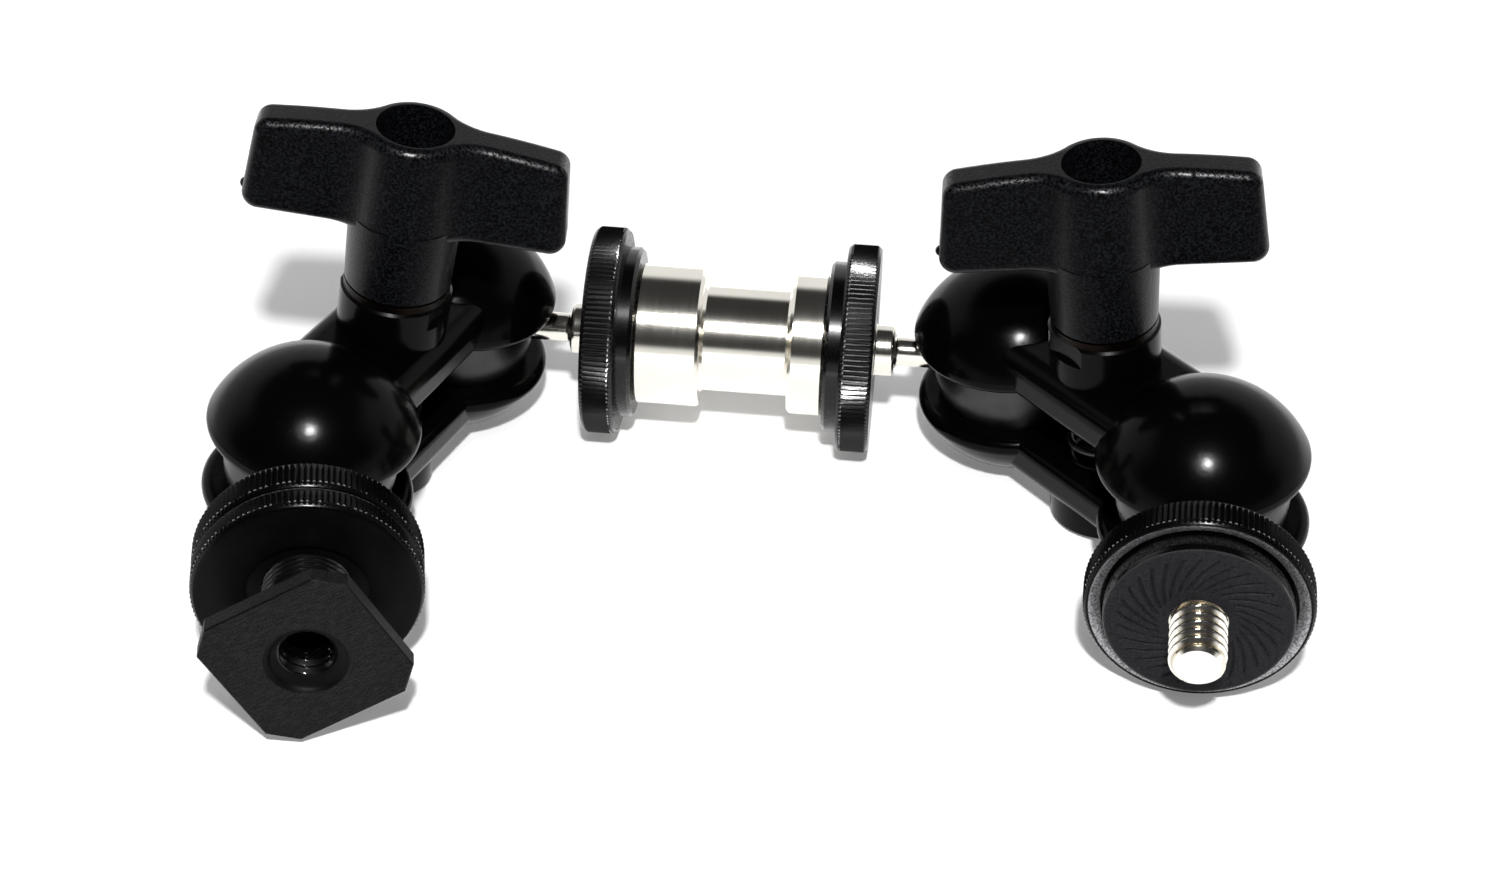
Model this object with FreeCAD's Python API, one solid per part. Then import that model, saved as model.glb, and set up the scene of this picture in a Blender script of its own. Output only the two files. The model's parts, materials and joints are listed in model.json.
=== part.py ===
# Articulating friction arm: two ball clamps joined by a threaded spool,
# with a 1/4 inch stud at one end and an accessory shoe foot at the other.
# Units are millimetres, +Z is up.

import math
import os

import FreeCAD
import Part
from FreeCAD import Placement, Rotation, Vector

os.makedirs("parts", exist_ok=True)

# Clearances
running_gap = 0.03        # radial, ball in its sockets
stub_gap = 0.04           # radial, stem end in the hole of its ball
thread_gap = 0.05         # radial, screw in its threaded hole
shank_gap = 0.02          # radial, shank in its disc and pad
guide_gap = 0.25          # radial, upper shell and washer round the bolt
bolt_gap = 0.10           # radial, bolt shank in the lower shell
head_gap = 0.05           # each side of the bolt head in its pocket
insert_gap = 0.01         # radial, insert moulded in the knob
pad_gap = 0.35            # radial, pad in the recess of its disc

# Ball studs: the ball centre is the origin and the stem runs along +X
ball_r = 10.0
ball_flat = 0.3           # depth of the flat where the stem enters
stub_depth = 6.0          # depth of the hole in the ball
stub_floor_gap = 0.1      # stem end above the bottom of that hole
neck_r = 1.75
neck_free = 5.2           # thin neck in front of the ball
collar_r = 3.1
collar_round = 0.6
collar_free = 2.1         # thick collar in front of the neck
disc_r = 12.7
disc_t = 4.0
disc_edge = 0.4
rim_edge = 0.4            # width of the bevel outside the sloped ring
rim_bevel = 0.2           # height of that bevel
rim_width = 1.5           # smooth sloped ring round the pad
rim_slope = 0.7
recess_depth = 1.6
pad_rise = 1.9            # pad face in front of the rim
pad_edge = 0.4
stud_r = 3.175            # 1/4-20 thread
shank_r = 3.5             # plain part in the disc and the pad
shank_short = 0.05        # shank ends behind the pad face
stud_tip = 0.8            # chamfer of the stud's end
stud_free = 7.2           # stud in front of the pad

# Spool between the two inner ball studs
spool_land_r = 8.6
spool_waist_r = 6.5
spool_left_land = 8.0
spool_waist = 10.8
spool_right_land = 4.4
spool_edge = 0.4
spool_hole_extra = 1.2    # each hole is this much deeper than its stud
spool_stud = 7.0          # stud length inside the spool

# Clamp shells: the middle between the two balls is the origin,
# +X runs from the inner ball to the outer ball and +Z along the knob
ball_spacing = 33.2
shell_wall = 3.17         # dome over its socket
split_half = 3.6          # half of the slot between the two shells
dome_round = 1.2
bar_half = 7.8
bar_height = 9.2
bar_round = 2.4
bar_split_round = 1.2
bar_overlap = 10.1        # length of the bar's end inside each dome
upper_boss_r = 6.5
upper_boss_top = 14.9
upper_flat = 5.9          # flats parallel to the bar
upper_flat_low = 12.2
lower_boss_r = 7.0
lower_boss_end = 12.9
upper_boss_edge = 0.28
lower_boss_edge = 0.7
pocket_depth = 3.0        # counterbores that hold the spring ends
pocket_r = 5.2

# Clamp bolt, washer, spring and knob
bolt_r = 3.0
bolt_head_flat = 10.0
bolt_head_h = 4.0
bolt_head_sink = 0.2      # head above the end of the lower boss
bolt_head_ring = 0.2      # round face inside the flats of the head
bolt_head_slope = 0.53    # height of the head's bevel over its width
bolt_top = 26.5
bolt_tip = 0.7
washer_t = 0.9
washer_r = 6.2
spring_wire_r = 0.45
spring_coil_r = 4.3       # middle of the wire
spring_turns = 5
insert_r = 4.8
insert_low = 0.8          # insert above the foot of the stem
insert_h = 9.0
knob_stem_r = 6.2
knob_stem_top_r = 6.5
knob_stem_edge = 0.3
knob_mouth_r = 3.7
wing_low = 23.6
wing_height = 11.6
wing_crown = 1.4          # middle of the top above its ends
wing_half_low = 18.7
wing_draft = 1.1          # lean of each end between its foot and its top
wing_corner = 1.8
wing_thick_half = 2.8
wing_side_draft = 0.35    # lean of a wing's sides between its foot and its top
wing_end_round = 2.4      # upright corners at the end of a wing
wing_end_extra = 0.4      # plan beyond the widest point of the side view
wing_blend = 6.0
hub_r = 6.5
hub_draft = 0.7           # lean of the hub between its foot and its top
hub_hole_r = 4.45
knob_edge = 1.3
nub_r = 0.65
nub_up = 1.9              # nub above the foot of its wing
nub_sink = 0.4

# Shoe foot and lock wheel on the left outer stud
left_pad_rise = 0.35
wheel_t = 3.0
wheel_gap = 0.05          # wheel in front of the pad
wheel_recess_r = 6.75
wheel_recess = 0.8
post_r = 5.0
post_thread_gap = 0.05
foot_side = 18.6
foot_cut = 3.9            # length of each cut corner
foot_t = 2.0
foot_post_free = 8.9      # post between the wheel and the plate
foot_sink_r = 4.5
foot_edge = 0.3
foot_stud = 7.0           # stud length inside the post
foot_stud_gap = 0.2       # stud's hole goes this far past its end
relief_r = 3.9            # groove between the two threads of the post
relief_length = 1.0
foot_hole_r = 3.3         # threaded hole in front of the groove

# Rest pose
left_twist = -0.75        # turn of the inner ball round the spool axis
right_twist = 0.75
left_lean = 8.4           # tilt of the stem out of the slot
right_lean = -6.5
left_swing = 250.5        # swing of the clamp round the knob axis
right_swing = -49.0
left_outer_swing = 30.4
right_outer_swing = -43.5
left_outer_lean = 1.05
right_outer_lean = 0.2
left_outer_turn = 37.1    # turn of the shoe foot round its post
right_outer_turn = 0.0
left_knob_turn = 113.0
right_knob_turn = 50.6
rest_roll = 2.83       # whole arm, so that it lies on the table
rest_pitch = 0.21
rest_x = -5.274
rest_y = 27.846
rest_z = 13.327

X = Vector(1, 0, 0)
Y = Vector(0, 1, 0)
Z = Vector(0, 0, 1)

# Derived positions along a ball stud
stub_end = ball_r - stub_depth
neck_end = ball_r + neck_free
disc_back = neck_end + collar_free
disc_front = disc_back + disc_t
rim_outer_r = disc_r - rim_edge
rim_inner_r = rim_outer_r - rim_width
recess_floor = disc_front - recess_depth
pad_front = disc_front + pad_rise
pad_r = rim_inner_r - pad_gap
left_pad_front = disc_front + left_pad_rise
wheel_back = left_pad_front + wheel_gap
wheel_front = wheel_back + wheel_t
foot_back = wheel_front + foot_post_free
foot_front = foot_back + foot_t
foot_hole_start = wheel_back + foot_stud + foot_stud_gap + relief_length
spool_length = spool_left_land + spool_waist + spool_right_land
ball_reach = spool_length / 2 + pad_front

# Derived sizes of the clamp and the knob
socket_r = ball_r + running_gap
dome_r = socket_r + shell_wall
dome_x = ball_spacing / 2
bar_reach = dome_x - dome_r + bar_overlap
stem_foot = upper_boss_top + washer_t
head_low = bolt_head_sink - lower_boss_end
insert_low_z = stem_foot + insert_low
insert_top_z = insert_low_z + insert_h
wing_top = wing_low + wing_height
knob_top = wing_top + wing_crown
wing_half_top = wing_half_low - wing_draft
nub_height = wing_low + nub_up
over = 1.0                # cutters run past the faces they cut
near = 0.01               # two places this close count as one
sharp_limit = 0.9         # cosine of the angle between faces that counts as sharp


def turn(axis, angle):
    return Placement(Vector(0, 0, 0), Rotation(axis, angle))


def shift(x, y, z):
    return Placement(Vector(x, y, z), Rotation())


def cyl_x(r, x0, x1):
    return Part.makeCylinder(r, x1 - x0, Vector(x0, 0, 0), X)


def cyl_z(r, z0, z1):
    return Part.makeCylinder(r, z1 - z0, Vector(0, 0, z0), Z)


def revolve_x(points):
    """Solid of revolution about X from (x, radius) points."""
    wire = Part.makePolygon([Vector(x, r, 0) for x, r in points + points[:1]])
    return Part.Face(wire).revolve(Vector(0, 0, 0), X, 360)


def revolve_z(points):
    """Solid of revolution about Z from (radius, z) points."""
    wire = Part.makePolygon([Vector(r, 0, z) for r, z in points + points[:1]])
    return Part.Face(wire).revolve(Vector(0, 0, 0), Z, 360)


def arc_edge(centre, r, a0, a1):
    """Arc in the XZ plane, angles in degrees from +X towards +Z."""
    def at(a):
        a = math.radians(a)
        return Vector(centre[0] + r * math.cos(a), 0, centre[1] + r * math.sin(a))
    return Part.Arc(at(a0), at((a0 + a1) / 2), at(a1)).toShape()


# Ball studs

def ball():
    body = Part.makeSphere(ball_r)
    body = body.cut(cyl_x(neck_r + stub_gap, stub_end, ball_r + over))
    keep = cyl_x(ball_r + over, -ball_r - over, ball_r - ball_flat)
    return body.common(keep)


def stem(front, stud_end):
    """Neck, collar, shank and stud in one; front is the face of the pad."""
    root = stub_end + stub_floor_gap
    shank_end = front - shank_short
    points = [
        (root, 0),
        (root, neck_r),
        (neck_end, neck_r),
        (neck_end, collar_r - collar_round),
        (neck_end + collar_round, collar_r),
        (disc_back, collar_r),
        (disc_back, shank_r),
        (shank_end, shank_r),
        (shank_end, stud_r),
        (stud_end - stud_tip, stud_r),
        (stud_end, stud_r - stud_tip),
        (stud_end, 0),
    ]
    return revolve_x(points)


def disc():
    hole = shank_r + shank_gap
    points = [
        (disc_back, hole),
        (disc_back, disc_r - disc_edge),
        (disc_back + disc_edge, disc_r),
        (disc_front - rim_bevel, disc_r),
        (disc_front, rim_outer_r),
        (disc_front - rim_slope, rim_inner_r),
        (recess_floor, rim_inner_r),
        (recess_floor, hole),
    ]
    return revolve_x(points)


def pad(front):
    edge = min(pad_edge, (front - recess_floor) / 4)
    hole = shank_r + shank_gap
    points = [
        (recess_floor, hole),
        (recess_floor, pad_r),
        (front - edge, pad_r),
        (front, pad_r - edge),
        (front, hole),
    ]
    return revolve_x(points)


def spool():
    e = spool_edge
    x0 = -spool_length / 2
    x1 = x0 + spool_left_land
    x2 = x1 + spool_waist
    x3 = x2 + spool_right_land
    points = [
        (x0, 0),
        (x0, spool_land_r - e),
        (x0 + e, spool_land_r),
        (x1 - e, spool_land_r),
        (x1, spool_land_r - e),
        (x1, spool_waist_r + e),
        (x1 + e, spool_waist_r),
        (x2 - e, spool_waist_r),
        (x2, spool_waist_r + e),
        (x2, spool_land_r - e),
        (x2 + e, spool_land_r),
        (x3 - e, spool_land_r),
        (x3, spool_land_r - e),
        (x3, 0),
    ]
    body = revolve_x(points)
    depth = spool_stud + spool_hole_extra
    hole_r = stud_r + thread_gap
    body = body.cut(cyl_x(hole_r, x0 - over, x0 + depth))
    return body.cut(cyl_x(hole_r, x3 - depth, x3 + over))


# Clamp shells

def dome_cap():
    """Outer form of one dome above the slot, with its rounded rim."""
    c = split_half + dome_round
    reach = math.sqrt((dome_r - dome_round) ** 2 - c ** 2)
    a = math.degrees(math.atan2(c, reach))
    edges = [
        Part.makeLine(Vector(0, 0, dome_r), Vector(0, 0, split_half)),
        Part.makeLine(Vector(0, 0, split_half), Vector(reach, 0, split_half)),
        arc_edge((reach, c), dome_round, -90, a),
        arc_edge((0, 0), dome_r, a, 90),
    ]
    return Part.Face(Part.Wire(edges)).revolve(Vector(0, 0, 0), Z, 360)


def long_edges(bar, z):
    """Edges of the bar that run along X at this height, at its two sides."""
    found = []
    for edge in bar.Edges:
        c = edge.CenterOfMass
        if abs(abs(c.y) - bar_half) < near and abs(c.z - z) < near and abs(c.x) < near:
            found.append(edge)
    return found


def shell_body():
    """Two domes and the bar between them, without the boss."""
    corner = Vector(-bar_reach, -bar_half, split_half)
    body = Part.makeBox(2 * bar_reach, 2 * bar_half, bar_height - split_half, corner)
    body = body.makeFillet(bar_split_round, long_edges(body, split_half))
    body = body.makeFillet(bar_round, long_edges(body, bar_height))
    for side in (-1, 1):
        cap = dome_cap()
        cap.Placement = shift(side * dome_x, 0, 0)
        body = body.fuse(cap)
    return body


def cut_sockets(body):
    for side in (-1, 1):
        body = body.cut(Part.makeSphere(socket_r, Vector(side * dome_x, 0, 0)))
    return body


def upper_boss():
    """Round seat of the knob with two flats along the bar."""
    e = upper_boss_edge
    boss = revolve_z([
        (0, split_half),
        (upper_boss_r, split_half),
        (upper_boss_r, upper_boss_top - e),
        (upper_boss_r - e, upper_boss_top),
        (0, upper_boss_top),
    ])
    depth = upper_boss_r - upper_flat + over
    high = upper_boss_top - upper_flat_low + over
    for y0 in (upper_flat, -upper_flat - depth):
        corner = Vector(-upper_boss_r, y0, upper_flat_low)
        boss = boss.cut(Part.makeBox(2 * upper_boss_r, depth, high, corner))
    return boss


def lower_boss():
    e = lower_boss_edge
    return revolve_z([
        (0, -split_half),
        (lower_boss_r, -split_half),
        (lower_boss_r, -lower_boss_end + e),
        (lower_boss_r - e, -lower_boss_end),
        (0, -lower_boss_end),
    ])


def upper_shell():
    body = cut_sockets(shell_body().fuse(upper_boss()))
    body = body.cut(cyl_z(bolt_r + guide_gap, 0, upper_boss_top + over))
    return body.cut(cyl_z(pocket_r, 0, split_half + pocket_depth)).removeSplitter()


def lower_shell():
    body = shell_body()
    body.Placement = turn(X, 180)
    body = cut_sockets(body.fuse(lower_boss()))
    low = -lower_boss_end - over
    body = body.cut(cyl_z(bolt_r + bolt_gap, low, 0))
    body = body.cut(cyl_z(pocket_r, -split_half - pocket_depth, 0))
    pocket = hexagon(bolt_head_flat + 2 * head_gap, low, head_low + bolt_head_h)
    return body.cut(pocket).removeSplitter()


def hexagon(flat, z0, z1):
    corner = flat / 2 / math.cos(math.pi / 6)
    points = []
    for k in range(7):
        a = math.radians(60 * k + 30)
        points.append(Vector(corner * math.cos(a), corner * math.sin(a), z0))
    face = Part.Face(Part.makePolygon(points))
    return face.extrude(Vector(0, 0, z1 - z0))


# Bolt, spring, washer, knob

def clamp_bolt():
    head_top = head_low + bolt_head_h
    ring = bolt_head_flat / 2 - bolt_head_ring
    corner = bolt_head_flat / 2 / math.cos(math.pi / 6) + over
    crown = revolve_z([
        (0, head_low),
        (ring, head_low),
        (corner, head_low + (corner - ring) * bolt_head_slope),
        (corner, head_top),
        (0, head_top),
    ])
    head = hexagon(bolt_head_flat, head_low, head_top).common(crown)
    shank = revolve_z([
        (0, head_low + bolt_head_h / 2),
        (bolt_r, head_low + bolt_head_h / 2),
        (bolt_r, bolt_top - bolt_tip),
        (bolt_r - bolt_tip, bolt_top),
        (0, bolt_top),
    ])
    return head.fuse(shank).removeSplitter()


def spring():
    half = split_half + pocket_depth
    height = 2 * half - 2 * spring_wire_r
    path = Part.makeHelix(height / spring_turns, height, spring_coil_r)
    ring = Part.makeCircle(spring_wire_r, Vector(spring_coil_r, 0, 0), Y)
    coil = Part.Wire(path).makePipeShell([Part.Wire([ring])], True, True)
    coil.translate(Vector(0, 0, -height / 2))
    return coil


def thrust_washer():
    ring = cyl_z(washer_r, upper_boss_top, stem_foot)
    return ring.cut(cyl_z(bolt_r + guide_gap, 0, stem_foot + over))


def knob_insert():
    body = cyl_z(insert_r, insert_low_z, insert_top_z)
    return body.cut(cyl_z(bolt_r + thread_gap, insert_low_z - over, insert_top_z + over))


def blend_arc(sx, sy, r, h):
    """Concave arc from the round hub of radius r to one side of a wing of half-thickness h."""
    f = wing_blend
    xc = math.sqrt((r + f) ** 2 - (h + f) ** 2)
    hub_end = math.atan2(-(h + f), -xc)
    points = []
    for a in (hub_end, (hub_end - math.pi / 2) / 2, -math.pi / 2):
        points.append(Vector(sx * (xc + f * math.cos(a)), sy * (h + f + f * math.sin(a)), 0))
    return Part.Arc(*points).toShape()


def end_arc(sx, sy, h):
    """Rounded upright corner at the end of a wing of half-thickness h."""
    r = wing_end_round
    cx = wing_half_low + wing_end_extra - r
    cy = h - r
    points = []
    for a in (math.pi / 2, math.pi / 4, 0):
        points.append(Vector(sx * (cx + r * math.cos(a)), sy * (cy + r * math.sin(a)), 0))
    return Part.Arc(*points).toShape()


def wing_plan(z, share):
    """Plan of the knob at height z, where this share of its draft is reached:
    two wings that widen to a round hub."""
    r = hub_r - hub_draft * share
    h = wing_thick_half - wing_side_draft * share
    edges = []
    for sx in (1, -1):
        for sy in (1, -1):
            blend = blend_arc(sx, sy, r, h)
            corner = end_arc(sx, sy, h)
            side = Part.makeLine(blend.Vertexes[1].Point, corner.Vertexes[0].Point)
            edges += [blend, side, corner]
        end = [end_arc(sx, sy, h).Vertexes[1].Point for sy in (1, -1)]
        edges.append(Part.makeLine(end[0], end[1]))
    for sy in (1, -1):
        hub = [blend_arc(sx, sy, r, h).Vertexes[0].Point for sx in (1, -1)]
        edges.append(Part.Arc(hub[0], Vector(0, sy * r, 0), hub[1]).toShape())
    plan = Part.Wire(Part.__sortEdges__(edges))
    plan.translate(Vector(0, 0, z))
    return plan


def wing_side():
    """Side view of the wings: drafted ends and a slightly crowned top."""
    a = Vector(-wing_half_low, 0, wing_low)
    b = Vector(wing_half_low, 0, wing_low)
    c = Vector(wing_half_top, 0, wing_top)
    d = Vector(-wing_half_top, 0, wing_top)
    crown = Part.Arc(c, Vector(0, 0, knob_top), d).toShape()
    edges = [Part.makeLine(a, b), Part.makeLine(b, c), crown, Part.makeLine(d, a)]
    face = Part.Face(Part.Wire(edges))
    face.translate(Vector(0, -hub_r - over, 0))
    body = face.extrude(Vector(0, 2 * (hub_r + over), 0))
    corners = []
    for edge in body.Edges:
        m = edge.CenterOfMass
        if abs(m.y) < near and abs(m.x) > wing_half_top - near:
            corners.append(edge)
    return body.makeFillet(wing_corner, corners)


def knob_stem():
    top = wing_low + wing_corner
    return revolve_z([
        (0, stem_foot),
        (knob_stem_r - knob_stem_edge, stem_foot),
        (knob_stem_r, stem_foot + knob_stem_edge),
        (knob_stem_top_r, top),
        (0, top),
    ])


def sharp_edges(body):
    """Edges where two faces of the body meet at a clear angle."""
    found = []
    for edge in body.Edges:
        middle = edge.valueAt((edge.FirstParameter + edge.LastParameter) / 2)
        normals = []
        for face in body.Faces:
            if any(edge.isSame(other) for other in face.Edges):
                u, v = face.Surface.parameter(middle)
                normals.append(face.normalAt(u, v))
        if len(normals) == 2 and normals[0].dot(normals[1]) < sharp_limit:
            found.append(edge)
    return found


def wings():
    plans = [wing_plan(wing_low - over, 0), wing_plan(knob_top + over, 1)]
    body = Part.makeLoft(plans, True, True).common(wing_side())
    return body.makeFillet(knob_edge, sharp_edges(body))


def knob():
    body = wings().fuse(knob_stem())
    place = Vector(nub_sink - wing_half_low, 0, nub_height)
    body = body.fuse(Part.makeSphere(nub_r, place))
    body = body.cut(cyl_z(knob_mouth_r, stem_foot - over, insert_low_z + over))
    body = body.cut(cyl_z(insert_r + insert_gap, insert_low_z, insert_top_z))
    body = body.cut(cyl_z(hub_hole_r, insert_top_z - over, knob_top + over))
    return body.removeSplitter()


# Shoe foot and lock wheel

def lock_wheel():
    bore = post_r + post_thread_gap
    points = [
        (wheel_back, bore),
        (wheel_back, disc_r - disc_edge),
        (wheel_back + disc_edge, disc_r),
        (wheel_front - disc_edge, disc_r),
        (wheel_front, disc_r - disc_edge),
        (wheel_front, wheel_recess_r),
        (wheel_front - wheel_recess, wheel_recess_r),
        (wheel_front - wheel_recess, bore),
    ]
    return revolve_x(points)


def foot_plate():
    """Square plate with cut corners and a bevel round its front."""
    half = foot_side / 2
    c = half - foot_cut * math.sqrt(0.5)
    corners = [(half, c), (c, half), (-c, half), (-half, c)]
    corners += [(-y, -z) for y, z in corners]
    points = [Vector(foot_back, y, z) for y, z in corners + corners[:1]]
    plate = Part.Face(Part.makePolygon(points)).extrude(Vector(foot_t, 0, 0))
    front = []
    for edge in plate.Edges:
        if abs(edge.CenterOfMass.x - foot_front) < near:
            front.append(edge)
    return plate.makeChamfer(foot_edge, front)


def shoe_foot():
    relief_start = foot_hole_start - relief_length
    sink = foot_sink_r - foot_hole_r
    body = foot_plate().fuse(cyl_x(post_r, wheel_back, foot_front - sink))
    body = body.cut(cyl_x(stud_r + thread_gap, wheel_back - over, relief_start))
    body = body.cut(cyl_x(relief_r, relief_start, foot_hole_start))
    body = body.cut(cyl_x(foot_hole_r, foot_hole_start, foot_front + over))
    cone = revolve_x([
        (foot_front - sink, 0),
        (foot_front - sink, foot_hole_r),
        (foot_front, foot_sink_r),
        (foot_front + over, foot_sink_r),
        (foot_front + over, 0),
    ])
    return body.cut(cone).removeSplitter()


# Placement

def rest_place():
    lean = turn(Y, rest_pitch).multiply(turn(X, rest_roll))
    return shift(rest_x, rest_y, rest_z).multiply(lean)


def inner_ball_place(side):
    """Frame of an inner ball: +X along the spool axis, towards +X."""
    twist = left_twist if side == "left" else right_twist
    x = -ball_reach if side == "left" else ball_reach
    return rest_place().multiply(shift(x, 0, 0)).multiply(turn(X, twist))


def clamp_place(side):
    lean = left_lean if side == "left" else right_lean
    swing = left_swing if side == "left" else right_swing
    place = inner_ball_place(side).multiply(turn(Y, lean)).multiply(turn(Z, swing))
    return place.multiply(shift(dome_x, 0, 0))


def outer_place(side):
    """Frame of an outer ball stud, its stem along +X."""
    swing = left_outer_swing if side == "left" else right_outer_swing
    lean = left_outer_lean if side == "left" else right_outer_lean
    spun = left_outer_turn if side == "left" else right_outer_turn
    place = clamp_place(side).multiply(shift(dome_x, 0, 0))
    place = place.multiply(turn(Z, swing)).multiply(turn(Y, -lean))
    return place.multiply(turn(X, spun))


def inner_stud_place(side):
    """Inner ball studs point to the middle of the spool."""
    place = inner_ball_place(side)
    if side == "right":
        place = place.multiply(turn(Z, 180))
    return place


def knob_place(side):
    spun = left_knob_turn if side == "left" else right_knob_turn
    return clamp_place(side).multiply(turn(Z, spun))


def export(name, shape, place):
    solid = shape.copy()
    solid.Placement = place.multiply(solid.Placement)
    solid.exportStep("parts/" + name + ".step")


def export_clamp(side):
    clamp = clamp_place(side)
    grip = knob_place(side)
    export(side + "_lower_shell", lower_shell(), clamp)
    export(side + "_upper_shell", upper_shell(), clamp)
    export(side + "_clamp_bolt", clamp_bolt(), clamp)
    export(side + "_spring", spring(), clamp)
    export(side + "_thrust_washer", thrust_washer(), clamp)
    export(side + "_knob", knob(), grip)
    export(side + "_knob_insert", knob_insert(), grip)


def export_ball_stud(name, place, front, stud_end):
    export(name + "_ball", ball(), place)
    export(name + "_stem", stem(front, stud_end), place)
    export(name + "_disc", disc(), place)
    export(name + "_pad", pad(front), place)


def build():
    export("spool", spool(), rest_place())
    for side in ("left", "right"):
        place = inner_stud_place(side)
        export_ball_stud(side + "_inner", place, pad_front, pad_front + spool_stud)
        export_clamp(side)
    left = outer_place("left")
    right = outer_place("right")
    export_ball_stud("left_outer", left, left_pad_front, wheel_back + foot_stud)
    export_ball_stud("right_outer", right, pad_front, pad_front + stud_free)
    export("lock_wheel", lock_wheel(), left)
    export("shoe_foot", shoe_foot(), left)


build()
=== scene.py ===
"""Articulating friction arm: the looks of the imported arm, its stage, lights and camera."""

import json
import math

import bmesh
import bpy
import numpy as np
from bpy.props import FloatProperty, FloatVectorProperty, IntProperty, PointerProperty
from mathutils import Matrix, Vector

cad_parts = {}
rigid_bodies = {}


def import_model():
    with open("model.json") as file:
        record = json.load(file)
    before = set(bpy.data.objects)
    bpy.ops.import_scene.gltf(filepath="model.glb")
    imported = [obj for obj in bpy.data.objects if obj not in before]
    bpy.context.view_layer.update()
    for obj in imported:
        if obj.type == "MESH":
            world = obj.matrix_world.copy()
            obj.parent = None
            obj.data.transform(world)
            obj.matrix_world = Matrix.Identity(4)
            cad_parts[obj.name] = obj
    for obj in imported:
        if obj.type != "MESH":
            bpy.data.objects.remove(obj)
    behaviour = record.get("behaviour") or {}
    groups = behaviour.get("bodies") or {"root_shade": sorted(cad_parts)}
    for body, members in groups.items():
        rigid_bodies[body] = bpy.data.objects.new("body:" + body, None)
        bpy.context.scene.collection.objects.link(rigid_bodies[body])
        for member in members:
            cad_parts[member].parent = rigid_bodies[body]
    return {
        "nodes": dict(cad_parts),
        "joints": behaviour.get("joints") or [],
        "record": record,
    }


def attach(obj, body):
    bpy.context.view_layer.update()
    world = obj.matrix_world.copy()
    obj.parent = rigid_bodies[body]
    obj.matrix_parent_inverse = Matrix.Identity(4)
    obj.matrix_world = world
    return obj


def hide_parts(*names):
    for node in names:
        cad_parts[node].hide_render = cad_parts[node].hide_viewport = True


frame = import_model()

bl_info = {
    "name": "Friction arm",
    "version": (1, 0, 0),
    "blender": (4, 5, 0),
    "location": "View3D > Sidebar > Friction arm",
    "description": "Knurled discs, threads, grooved pad, finishes and stage of a friction arm",
    "category": "Object",
}

MM = 0.001
FULL_TURN = 2 * math.pi
SIDES = ("left", "right")

# Size of a softened corner, room round a shank and round a thread, and how near a point
# has to be to count as being at a place
SOFT_CORNER = 0.04 * MM
TIGHT_FIT = 0.02 * MM
LOOSE_FIT = 0.05 * MM
PICK_REACH = 0.01 * MM

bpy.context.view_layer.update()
JOINTS = {j["name"]: j for j in frame["joints"]}
MOUNTS = {m["name"]: m for m in frame["record"]["mounts"]}


# Sizes and colours that a user would change

def length(name, text, value):
    return FloatProperty(name=name, description=text, default=value * MM, min=0, unit="LENGTH",
                         precision=5)


def plain(name, text, value):
    return FloatProperty(name=name, description=text, default=value)


def count(name, text, value):
    return IntProperty(name=name, description=text, default=value, min=1)


def colour(name, text, value):
    return FloatVectorProperty(name=name, description=text, default=value, size=3,
                               subtype="COLOR", min=0, max=1)


class ArmSizes(bpy.types.PropertyGroup):
    """Sizes along a ball stud, from the centre of its ball, and of what repeats."""
    disc_back: length("Disc back", "Back of a disc", 17.3)
    disc_front: length("Disc front", "Front of a disc's ring", 21.3)
    disc_radius: length("Disc radius", "Over the teeth of the rim", 12.7)
    ring_radius: length("Ring radius", "Outer edge of the smooth ring", 12.1)
    recess_radius: length("Recess radius", "Recess that holds the pad", 10.8)
    ring_slope: length("Ring slope", "Drop of the smooth ring", 0.7)
    recess_depth: length("Recess depth", "Recess below the disc's front", 1.6)
    teeth: count("Teeth", "Straight teeth round a rim", 122)
    tooth_depth: length("Tooth depth", "Depth of a rim's teeth", 0.26)
    bevel_length: length("Bevel length", "Bevel of a rim, along the axis", 0.50)
    bevel_width: length("Bevel width", "Bevel of a rim, across it", 0.38)
    pad_front: length("Pad front", "Face of the grooved pad", 23.2)
    pad_radius: length("Pad radius", "Outside of the grooved pad", 10.45)
    grooves: count("Grooves", "Curved grooves in the pad", 30)
    groove_depth: length("Groove depth", "Depth of a groove", 0.22)
    groove_start: length("Groove start", "Radius where the grooves begin", 4.3)
    groove_end: length("Groove end", "Radius where the grooves end", 9.1)
    groove_twist: plain("Groove twist", "Turn of a groove over the log of its radius", -0.77)
    shank_radius: length("Shank radius", "Plain part of a stem in its disc", 3.5)
    stud_radius: length("Stud radius", "Outside of the camera thread", 3.175)
    stud_end: length("Stud end", "End of the free stud", 30.4)
    pitch: length("Thread pitch", "Distance from turn to turn", 1.27)
    thread_depth: length("Thread depth", "Depth of the camera thread", 0.6)
    wheel_back: length("Wheel back", "Back of the lock wheel", 21.7)
    wheel_front: length("Wheel front", "Front of the lock wheel", 24.7)
    post_radius: length("Post radius", "Outside of the threaded post", 5.0)
    post_pitch: length("Post pitch", "Pitch of the post's thread", 0.8)
    post_thread_depth: length("Post thread depth", "Depth of the foot's two threads", 0.45)
    plate_back: length("Plate back", "Back of the shoe foot's plate", 33.6)
    plate_front: length("Plate front", "Front of the shoe foot's plate", 35.6)
    plate_side: length("Plate side", "Width across the plate", 18.6)
    plate_cut: length("Plate cut", "Length of a cut corner", 3.9)
    sink_radius: length("Sink radius", "Countersink of the plate's hole", 4.5)
    hole_radius: length("Hole radius", "Threaded hole of the plate", 3.3)


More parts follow.
